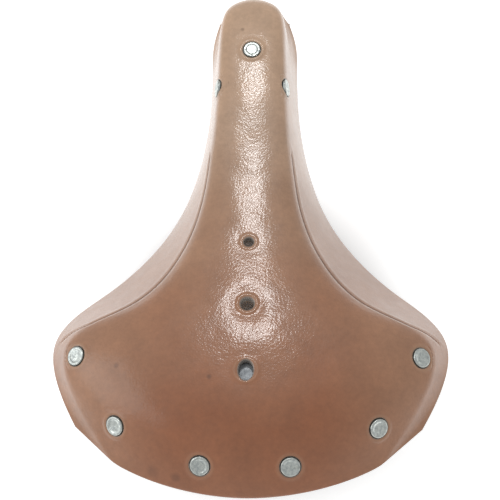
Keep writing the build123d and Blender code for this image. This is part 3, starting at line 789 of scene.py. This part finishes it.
class ShellMaker:
    """Collects points and faces of one closed shell, with where each point lies on the hide."""

    def __init__(self) -> None:
        """Starts with nothing."""
        self.points: list[np.ndarray] = []
        self.faces: list[tuple[int, ...]] = []
        self._place: list[np.ndarray] = []
        self._side: list[np.ndarray] = []
        self._edge: list[np.ndarray] = []
        self._lip: list[np.ndarray] = []
        self._marks: list[tuple[np.ndarray, float]] = []
        self.count = 0

    def add(self, points: np.ndarray, along: np.ndarray, across: np.ndarray, side: int, edge: float = 0.0,
            lip: np.ndarray | float = 0.0) -> np.ndarray:
        """Adds points and returns their numbers."""
        flat = points.reshape(-1, 3)
        n = len(flat)
        self.points.append(flat)
        self._place.append(np.stack([np.ravel(along), np.ravel(across)], 1))
        self._side.append(np.full(n, float(side)))
        self._edge.append(np.full(n, float(edge)))
        self._lip.append(np.broadcast_to(np.asarray(lip, float), (n,)))
        numbers = np.arange(self.count, self.count + n)
        self.count += n
        return numbers

    def quad(self, *corners: int) -> None:
        """Adds one face."""
        self.faces.append(tuple(int(c) for c in corners))

    def band(self, first: np.ndarray, second: np.ndarray, flip: bool = False) -> None:
        """Joins two closed rings of the same length."""
        n = len(first)
        for k in range(n):
            nxt = (k + 1) % n
            face = (first[k], second[k], second[nxt], first[nxt])
            self.quad(*(face[::-1] if flip else face))

    def mark_edge(self, numbers: np.ndarray, amount: float) -> None:
        """Says that these points are on the cut edge."""
        self._marks.append((numbers, amount))

    @property
    def place(self) -> np.ndarray:
        """Where each point lies, along and across."""
        return np.concatenate(self._place)

    @property
    def side(self) -> np.ndarray:
        """0 on the grain side and 1 on the flesh side."""
        return np.concatenate(self._side)

    @property
    def lip(self) -> np.ndarray:
        """How much of a raised lip each point is on."""
        return np.concatenate(self._lip)

    @property
    def edge(self) -> np.ndarray:
        """How much of the cut edge each point is on."""
        values = np.concatenate(self._edge)
        for numbers, amount in self._marks:
            values[numbers] = amount
        return values

    def mesh(self, name: str) -> bpy.types.Mesh:
        """Makes the mesh, with its faces pointing outwards and a UV map of the places along and across."""
        mesh = bpy.data.meshes.new(name)
        mesh.from_pydata(np.concatenate(self.points).tolist(), [], self.faces)
        work = bmesh.new()
        work.from_mesh(mesh)
        bmesh.ops.recalc_face_normals(work, faces=work.faces)
        open_edges = sum(1 for e in work.edges if not e.is_manifold)
        log.info("%s: %d open edges", name, open_edges)
        work.to_mesh(mesh)
        work.free()
        layer = mesh.uv_layers.new(name="hide")
        corners = np.zeros(len(mesh.loops), np.int32)
        mesh.loops.foreach_get("vertex_index", corners)
        layer.data.foreach_set("uv", np.ascontiguousarray(self.place[corners][:, ::-1], np.float32).ravel())
        return mesh


# ---------------------------------------------------------------------------------------------- the rivets


@dataclass
class RivetSet:
    """Rivets of one body: domed, rimmed heads with a hammered dish, made by one Geometry Nodes tree."""

    name: str
    body: str
    nodes: tuple[str, ...]
    places: tuple[tuple[float, float], ...]
    form: HideForm
    seed: int
    head_radius: float = 4.5 * MM
    head_sink: float = 1.2 * MM
    head_proud: float = 0.4 * MM
    rim: float = 1.0 * MM
    dish: float = 0.34 * MM
    dent: float = 0.16 * MM
    shank_radius: float = 2.2 * MM
    clench_radius: float = 3.3 * MM
    clench_depth: float = 7.0 * MM
    clench: float = 1.1 * MM

    def build(self, material: bpy.types.Material) -> bpy.types.Object:
        """Makes the rivets as one plain mesh that stands for their CAD nodes."""
        carrier = self._carrier()
        tree, sockets = self._tree(material)
        modifier = carrier.modifiers.new("rivets", "NODES")
        modifier.node_group = tree
        values = {"Head Radius": self.head_radius, "Head Thickness": self.head_sink + self.head_proud,
                  "Head Proud": self.head_proud, "Rim Width": self.rim, "Dish Depth": self.dish,
                  "Dent Depth": self.dent, "Shank Radius": self.shank_radius, "Clench Radius": self.clench_radius,
                  "Clench Depth": self.clench_depth, "Clench Height": self.clench, "Seed": self.seed}
        for name, value in values.items():
            modifier[sockets[name]] = value
        bpy.context.view_layer.update()
        graph = bpy.context.evaluated_depsgraph_get()
        mesh = bpy.data.meshes.new_from_object(carrier.evaluated_get(graph))
        mesh.name = self.name
        bpy.data.objects.remove(carrier)
        piece = link_mesh(self.name, mesh)
        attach(piece, self.body)
        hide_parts(*self.nodes)
        return piece

    def _carrier(self) -> bpy.types.Object:
        """A point at each rivet, with the direction that its head faces."""
        frames = [self.form.frame_at(*place) for place in self.places]
        mesh = bpy.data.meshes.new(self.name + "_places")
        mesh.from_pydata([f[0].tolist() for f in frames], [], [])
        layer = mesh.attributes.new("facing", "FLOAT_VECTOR", "POINT")
        layer.data.foreach_set("vector", np.array([f[3] for f in frames], np.float32).ravel())
        return link_mesh(self.name + "_places", mesh)

    def _tree(self, material: bpy.types.Material) -> tuple[bpy.types.NodeTree, dict[str, str]]:
        """The node tree: head, shank and clench, copied to each point, dented, and made real."""
        tree = bpy.data.node_groups.new(self.name + "_nodes", "GeometryNodeTree")
        face = tree.interface
        face.new_socket("Geometry", in_out="INPUT", socket_type="NodeSocketGeometry")
        named = ("Head Radius", "Head Thickness", "Head Proud", "Rim Width", "Dish Depth", "Dent Depth",
                 "Shank Radius", "Clench Radius", "Clench Depth", "Clench Height")
        sockets = {n: face.new_socket(n, in_out="INPUT", socket_type="NodeSocketFloat").identifier for n in named}
        sockets["Seed"] = face.new_socket("Seed", in_out="INPUT", socket_type="NodeSocketInt").identifier
        face.new_socket("Geometry", in_out="OUTPUT", socket_type="NodeSocketGeometry")
        given = add_node(tree, "NodeGroupInput").outputs
        head = self._head(tree, given)
        shank = self._pin(tree, given, "Shank Radius", "Head Thickness", "Clench Depth", 0.0)
        clench = self._pin(tree, given, "Clench Radius", "Clench Height", "Clench Depth", 1.0)
        whole = add_node(tree, "GeometryNodeJoinGeometry")
        for part in (clench, shank, head):
            tree.links.new(part, whole.inputs[0])
        facing = add_node(tree, "GeometryNodeInputNamedAttribute", {"data_type": "FLOAT_VECTOR"}, {"Name": "facing"})
        turn = add_node(tree, "FunctionNodeAlignRotationToVector", {"axis": "Z"},
                        {"Vector": facing.outputs["Attribute"]})
        spots = add_node(tree, "GeometryNodeMeshToPoints", inputs={"Mesh": given["Geometry"]})
        copies = add_node(tree, "GeometryNodeInstanceOnPoints", inputs={
            "Points": spots.outputs[0], "Instance": whole.outputs[0], "Rotation": turn.outputs[0]})
        real = add_node(tree, "GeometryNodeRealizeInstances", inputs={0: copies.outputs[0]})
        dented = self._dents(tree, given, real.outputs[0])
        smoothed = add_node(tree, "GeometryNodeSetShadeSmooth", inputs={0: dented})
        finish = add_node(tree, "GeometryNodeSetMaterial", inputs={0: smoothed.outputs[0], "Material": material})
        add_node(tree, "NodeGroupOutput", inputs={0: finish.outputs[0]})
        return tree, sockets

    def _head(self, tree: bpy.types.NodeTree, given: bpy.types.bpy_prop_collection) -> bpy.types.NodeSocket:
        """A disc whose top has a rounded rim round a shallow dish, and whose dish is marked for the dents."""
        disc = add_node(tree, "GeometryNodeMeshCylinder", {"fill_type": "TRIANGLE_FAN"}, {
            "Vertices": 48, "Side Segments": 4, "Fill Segments": 14, "Radius": given["Head Radius"],
            "Depth": given["Head Thickness"]})
        half = add_node(tree, "ShaderNodeMath", {"operation": "MULTIPLY"}, {0: given["Head Thickness"], 1: 0.5})
        down = add_node(tree, "ShaderNodeMath", {"operation": "SUBTRACT"}, {0: given["Head Proud"], 1: half.outputs[0]})
        place = add_node(tree, "GeometryNodeInputPosition").outputs[0]
        axes = add_node(tree, "ShaderNodeSeparateXYZ", inputs={0: place}).outputs
        level = add_node(tree, "ShaderNodeCombineXYZ", inputs={0: axes[0], 1: axes[1], 2: 0.0})
        radius = add_node(tree, "ShaderNodeVectorMath", {"operation": "LENGTH"}, {0: level.outputs[0]}).outputs["Value"]
        inside = add_node(tree, "ShaderNodeMath", {"operation": "SUBTRACT"}, {0: given["Head Radius"], 1: given["Rim Width"]})
        slope = add_node(tree, "ShaderNodeMath", {"operation": "MULTIPLY"}, {0: inside.outputs[0], 1: 0.72})
        dish = add_node(tree, "ShaderNodeMapRange", {"interpolation_type": "SMOOTHSTEP"},
                        {0: radius, 1: inside.outputs[0], 2: slope.outputs[0], 3: 0.0, 4: given["Dish Depth"]})
        crest = add_node(tree, "ShaderNodeMath", {"operation": "SUBTRACT"}, {0: given["Head Radius"], 1: 0.35 * MM})
        over = add_node(tree, "ShaderNodeMapRange", {"interpolation_type": "SMOOTHSTEP"},
                        {0: radius, 1: crest.outputs[0], 2: given["Head Radius"], 3: 0.0, 4: 0.28 * MM})
        drop = add_node(tree, "ShaderNodeMath", {"operation": "ADD"}, {0: dish.outputs[0], 1: over.outputs[0]})
        top = add_node(tree, "ShaderNodeMath", {"operation": "MULTIPLY"}, {0: half.outputs[0], 1: 0.98})
        is_top = add_node(tree, "FunctionNodeCompare", {"data_type": "FLOAT", "operation": "GREATER_THAN"},
                          {0: axes[2], 1: top.outputs[0]})
        fall = add_node(tree, "ShaderNodeMath", {"operation": "MULTIPLY"}, {0: drop.outputs[0], 1: -1.0})
        offset = add_node(tree, "ShaderNodeCombineXYZ", inputs={2: fall.outputs[0]})
        share = add_node(tree, "ShaderNodeMapRange", {"interpolation_type": "SMOOTHSTEP"},
                         {0: radius, 1: inside.outputs[0], 2: slope.outputs[0]})
        mark_value = add_node(tree, "ShaderNodeMath", {"operation": "MULTIPLY"},
                              {0: share.outputs[0], 1: is_top.outputs[0]})
        mark = add_node(tree, "GeometryNodeStoreNamedAttribute", {"data_type": "FLOAT", "domain": "POINT"},
                        {0: disc.outputs["Mesh"], "Name": "dished", "Value": mark_value.outputs[0]})
        shaped = add_node(tree, "GeometryNodeSetPosition", inputs={
            0: mark.outputs[0], "Selection": is_top.outputs[0], "Offset": offset.outputs[0]})
        lower = add_node(tree, "ShaderNodeCombineXYZ", inputs={2: down.outputs[0]})
        return add_node(tree, "GeometryNodeTransform", inputs={
            0: shaped.outputs[0], "Translation": lower.outputs[0]}).outputs[0]

    def _pin(self, tree: bpy.types.NodeTree, given: bpy.types.bpy_prop_collection, radius: str, height: str,
             depth: str, below: float) -> bpy.types.NodeSocket:
        """A plain pin: the shank, from the head to the clench, or the clench under the plate."""
        if below:
            tall = given[height]
            middle = add_node(tree, "ShaderNodeMath", {"operation": "MULTIPLY_ADD"}, {0: tall, 1: 0.5, 2: given[depth]})
        else:
            tall = add_node(tree, "ShaderNodeMath", {"operation": "SUBTRACT"},
                            {0: given[depth], 1: self.head_sink - 0.2 * MM}).outputs[0]
            middle = add_node(tree, "ShaderNodeMath", {"operation": "MULTIPLY_ADD"},
                              {0: tall, 1: 0.5, 2: self.head_sink - 0.2 * MM})
        pin = add_node(tree, "GeometryNodeMeshCylinder", {"fill_type": "TRIANGLE_FAN"},
                       {"Vertices": 32, "Side Segments": 2, "Fill Segments": 3, "Radius": given[radius], "Depth": tall})
        down = add_node(tree, "ShaderNodeMath", {"operation": "MULTIPLY"}, {0: middle.outputs[0], 1: -1.0})
        place = add_node(tree, "ShaderNodeCombineXYZ", inputs={2: down.outputs[0]})
        return add_node(tree, "GeometryNodeTransform", inputs={
            0: pin.outputs["Mesh"], "Translation": place.outputs[0]}).outputs[0]

    def _dents(self, tree: bpy.types.NodeTree, given: bpy.types.bpy_prop_collection,
               shape: bpy.types.NodeSocket) -> bpy.types.NodeSocket:
        """Hammer marks in each dish, different on each rivet because they come from where it is."""
        place = add_node(tree, "GeometryNodeInputPosition").outputs[0]
        facets = add_node(tree, "ShaderNodeTexVoronoi", {"voronoi_dimensions": "4D", "feature": "SMOOTH_F1"},
                          {"Vector": place, "W": given["Seed"], "Scale": 1 / (2.1 * MM), "Smoothness": 0.35})
        mark = add_node(tree, "GeometryNodeInputNamedAttribute", {"data_type": "FLOAT"}, {"Name": "dished"})
        deep = add_node(tree, "ShaderNodeMapRange", inputs={
            0: facets.outputs["Distance"], 1: 0.1, 2: 0.7, 3: -0.6, 4: 0.4})
        size = add_node(tree, "ShaderNodeMath", {"operation": "MULTIPLY"}, {0: deep.outputs[0], 1: given["Dent Depth"]})
        here = add_node(tree, "ShaderNodeMath", {"operation": "MULTIPLY"}, {0: size.outputs[0], 1: mark.outputs["Attribute"]})
        out = add_node(tree, "GeometryNodeInputNormal").outputs[0]
        offset = add_node(tree, "ShaderNodeVectorMath", {"operation": "SCALE"}, {0: out, "Scale": here.outputs[0]})
        return add_node(tree, "GeometryNodeSetPosition", inputs={0: shape, "Offset": offset.outputs[0]}).outputs[0]


# ---------------------------------------------------------------------------------------------- steelwork


class Finish(Enum):
    """Which metal each carried-over node has."""

    PLATE = ("cantle_plate", "nose_plate")
    TURNED = ("tension_nut", "tension_bolt", "socket_rivet_1", "socket_rivet_2", "socket_rivet_3", "socket_rivet_4")
    ENAMEL = ("rail_left", "rail_right", "front_yoke", "nose_anvil", "rail_socket_left", "rail_socket_right")


@dataclass
class Steelwork:
    """The plates, rails, sockets, yoke and bolt that come from the frame, each with its real finish."""

    finishes: dict[Finish, Metal] = field(default_factory=lambda: {
        Finish.PLATE: ZINC_PLATE, Finish.TURNED: TURNED_STEEL, Finish.ENAMEL: BLACK_ENAMEL})

    def dress(self, nodes: dict[str, bpy.types.Object]) -> None:
        """Gives each node its metal."""
        for finish, metal in self.finishes.items():
            material = metal.build()
            for name in finish.value:
                piece = nodes[name]
                piece.data.materials.clear()
                piece.data.materials.append(material)
                log.info("%s: %s", name, material.name)


# ---------------------------------------------------------------------------------------------- studio


@dataclass
class Studio:
    """Plain pale floor, soft light and the camera."""

    elevation: float = 68.0
    turn: float = 6.5
    roll: float = -6.0
    distance: float = 0.432
    target: tuple[float, float, float] = (0.0003, -0.004, 0.045)
    focal_share: float = 1.72
    floor_gap: float = 0.0006

    def build(self, low: float) -> None:
        """Makes the floor under the lowest point, the lights, the surroundings and the camera."""
        bpy.context.scene.view_settings.view_transform = "Standard"
        self._floor(low)
        self._lights()
        self._camera()

    def _floor(self, low: float) -> None:
        """A wide matt white sheet, a little bright in itself so that shadows stay light."""
        mesh = bpy.data.meshes.new("floor")
        s, z = 4.0, low - self.floor_gap
        mesh.from_pydata([(-s, -s, z), (s, -s, z), (s, s, z), (-s, s, z)], [], [(0, 1, 2, 3)])
        floor = link_mesh("floor", mesh)
        material = bpy.data.materials.new("matt_white_paper")
        material.use_nodes = True
        tree = material.node_tree
        tree.nodes.clear()
        where = add_node(tree, "ShaderNodeTexCoord").outputs["Object"]
        gap = add_node(tree, "ShaderNodeVectorMath", {"operation": "DISTANCE"}, {0: where, 1: (0.0, -0.03, z)})
        # painted light: no glow within 4 cm of a point 3 cm behind the saddle's middle, full glow beyond 11 cm
        glow = add_node(tree, "ShaderNodeMapRange", {"interpolation_type": "SMOOTHSTEP"},
                        {0: gap.outputs["Value"], 1: 0.04, 2: 0.11, 3: 0.0, 4: 0.66})
        shader = add_node(tree, "ShaderNodeBsdfPrincipled", inputs={
            "Base Color": srgb("#F6F6F6"), "Roughness": 0.9, "Specular IOR Level": 0.2,
            "Emission Color": (1.0, 1.0, 1.0, 1.0), "Emission Strength": glow.outputs[0]})
        add_node(tree, "ShaderNodeOutputMaterial", inputs={"Surface": shader.outputs[0]})
        mesh.materials.append(material)
        floor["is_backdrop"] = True

    def _area(self, name: str, spot: tuple[float, float, float], aim: tuple[float, float, float], width: float,
              length: float, watts: float) -> None:
        """One soft box that faces a point."""
        light = bpy.data.lights.new(name, "AREA")
        light.shape, light.size, light.size_y, light.energy = "RECTANGLE", width, length, watts
        lamp = bpy.data.objects.new(name, light)
        bpy.context.scene.collection.objects.link(lamp)
        lamp.location = spot
        lamp.rotation_euler = (Vector(aim) - Vector(spot)).to_track_quat("-Z", "Y").to_euler()

    def _lights(self) -> None:
        """White surroundings, a small overhead box for the shine on the ridge, and two wide side boxes."""
        world = bpy.data.worlds.new("pale_studio")
        bpy.context.scene.world = world
        world.use_nodes = True
        tree = world.node_tree
        tree.nodes.clear()
        back = add_node(tree, "ShaderNodeBackground", inputs={"Color": (1.0, 1.0, 1.0, 1.0), "Strength": 0.55})
        add_node(tree, "ShaderNodeOutputWorld", inputs={"Surface": back.outputs[0]})
        self._area("overhead_box", (-0.03, 0.61, 1.17), (0.0, 0.0, 0.05), 0.07, 0.16, 2.8)
        self._area("left_box", (-0.9, -0.1, 0.7), (0.0, 0.0, 0.05), 0.8, 0.8, 3.0)

    def _camera(self) -> None:
        """The camera, above and behind the saddle, looking along it to the nose."""
        e, a, r = (math.radians(v) for v in (self.elevation, self.turn, self.roll))
        back = Vector((math.sin(a) * math.cos(e), -math.cos(a) * math.cos(e), math.sin(e)))
        level = Vector((0, 0, 1)).cross(back).normalized()
        rise = back.cross(level)
        right = level * math.cos(r) + rise * math.sin(r)
        up = rise * math.cos(r) - level * math.sin(r)
        eye = Vector(self.target) + back * self.distance
        data = bpy.data.cameras.new("camera")
        data.sensor_fit, data.sensor_width = "HORIZONTAL", 36.0
        data.lens = self.focal_share * 36.0
        data.clip_start, data.clip_end = 0.01, 20.0
        camera = bpy.data.objects.new("camera", data)
        bpy.context.scene.collection.objects.link(camera)
        camera.matrix_world = Matrix([(*row, place) for row, place in zip(zip(right, up, back), eye)] + [(0, 0, 0, 1)])
        bpy.context.scene.camera = camera


# ---------------------------------------------------------------------------------------------- making it


@dataclass
class Saddle:
    """The whole saddle: leather, rivets and steelwork."""

    form: HideForm = field(default_factory=HideForm)
    leather: WaxedLeather = field(default_factory=WaxedLeather)

    def build(self, nodes: dict[str, bpy.types.Object]) -> None:
        """Builds every piece and reports each one."""
        low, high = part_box("leather_top")
        top = LeatherTop(self.form)
        hide = top.build(self.leather.build((low.y, high.y)))
        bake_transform(hide)
        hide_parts("leather_top")
        log.info("leather_hide: %d faces", len(hide.data.polygons))
        steel = RIVET_STEEL.build()
        rear = tuple(f"rear_rivet_{i}" for i in range(1, 7))
        sets = (RivetSet("rear_rivets", "frame", rear, top.rivet_places[3:], self.form, 7),
                RivetSet("nose_rivets", "nose", ("nose_rivet_top", "nose_rivet_left", "nose_rivet_right"),
                         top.rivet_places[:3], self.form, 12, clench_depth=7.0 * MM))
        for rivets in sets:
            piece = rivets.build(steel)
            log.info("%s: %d faces", piece.name, len(piece.data.polygons))
        Steelwork().dress(nodes)


def plain(box: tuple) -> list[list[float]]:
    """A box as plain lists of numbers."""
    return [[float(c) for c in corner] for corner in box]


def main() -> None:
    """Builds the saddle and the studio."""
    logging.basicConfig(level=logging.INFO, format="%(name)s: %(message)s")
    cad = plain(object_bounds())
    Saddle().build(frame["nodes"])
    Studio().build(cad[0][2])


if __name__ == "__main__":
    main()
